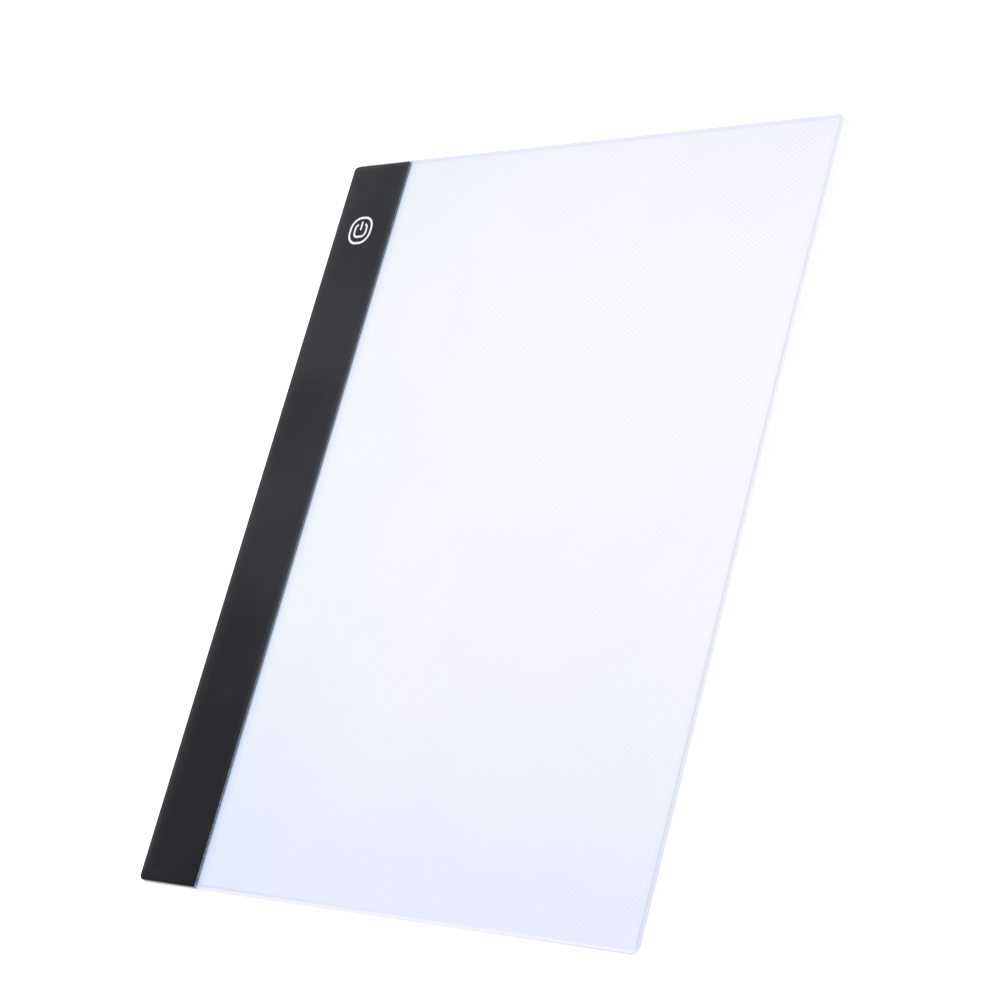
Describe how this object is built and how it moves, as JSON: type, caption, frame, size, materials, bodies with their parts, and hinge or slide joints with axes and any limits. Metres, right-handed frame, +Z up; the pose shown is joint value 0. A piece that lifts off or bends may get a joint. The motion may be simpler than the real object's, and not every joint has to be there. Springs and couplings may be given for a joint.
{
  "type": "light box",
  "caption": "Thin edge-lit tracing pad: lit white panel, black control strip with a printed touch key along one long side, and a small supply socket at its end.",
  "frame": {"origin": "centre of the footprint, on the surface that the feet stand on", "axes": "+Z up through the lit face, +Y along the long side towards the touch key and the socket, -X towards the black control strip"},
  "size_m": [0.188, 0.24, 0.0054],
  "materials": {
    "white_shell": "fine satin moulding",
    "clear_rubber": "clear silicone",
    "reflector_film": "white reflective film",
    "clear_acrylic": "polished",
    "diffuser_film": "matte film",
    "lit_face": "matte, lit from within, with a fine lattice of dots",
    "clear_tape": "double-sided tape",
    "black_tape": "matte tape",
    "white_circuit_board": "solder mask",
    "led_housing": "glossy",
    "led_phosphor": "silicone with phosphor",
    "green_circuit_board": "solder mask",
    "foam_tape": "foam",
    "plated_steel": "nickel plated",
    "black_plastic": "moulded",
    "gold_contact": "gold plated",
    "tinned_metal": "tinned",
    "resistor_body": "coated ceramic",
    "capacitor_body": "bare ceramic",
    "copper": "copper foil",
    "conductive_foam": "foam",
    "red_wire": "insulation",
    "black_wire": "insulation",
    "translucent_plate": "translucent plate with a cut edge",
    "black_film": "fine matte film",
    "white_ink": "screen print"
  },
  "bodies": {
    "root": {"rear_cover": "white_shell", "rubber_feet": "clear_rubber", "reflector_sheet": "reflector_film", "light_guide": "clear_acrylic", "diffuser_sheet": "diffuser_film", "face_sheet": "lit_face", "rim_tape": "clear_tape", "light_seal_tape": "black_tape", "led_board": "white_circuit_board", "led_board_tape": "clear_tape", "led_packages": "led_housing", "led_phosphors": "led_phosphor", "control_board": "green_circuit_board", "board_foam_tape": "foam_tape", "usb_shell": "plated_steel", "usb_tongue": "black_plastic", "usb_contacts": "gold_contact", "touch_chip": "black_plastic", "touch_chip_leads": "tinned_metal", "mosfet": "black_plastic", "mosfet_leads": "tinned_metal", "ballast_resistors": "resistor_body", "signal_resistors": "resistor_body", "capacitors": "capacitor_body", "touch_electrode": "copper", "touch_foam": "conductive_foam", "lead_positive": "red_wire", "lead_negative": "black_wire", "solder_joints": "tinned_metal", "strip_tape": "clear_tape", "strip_plate": "translucent_plate", "strip_film": "black_film", "power_mark": "white_ink"}
  },
  "joints": []
}
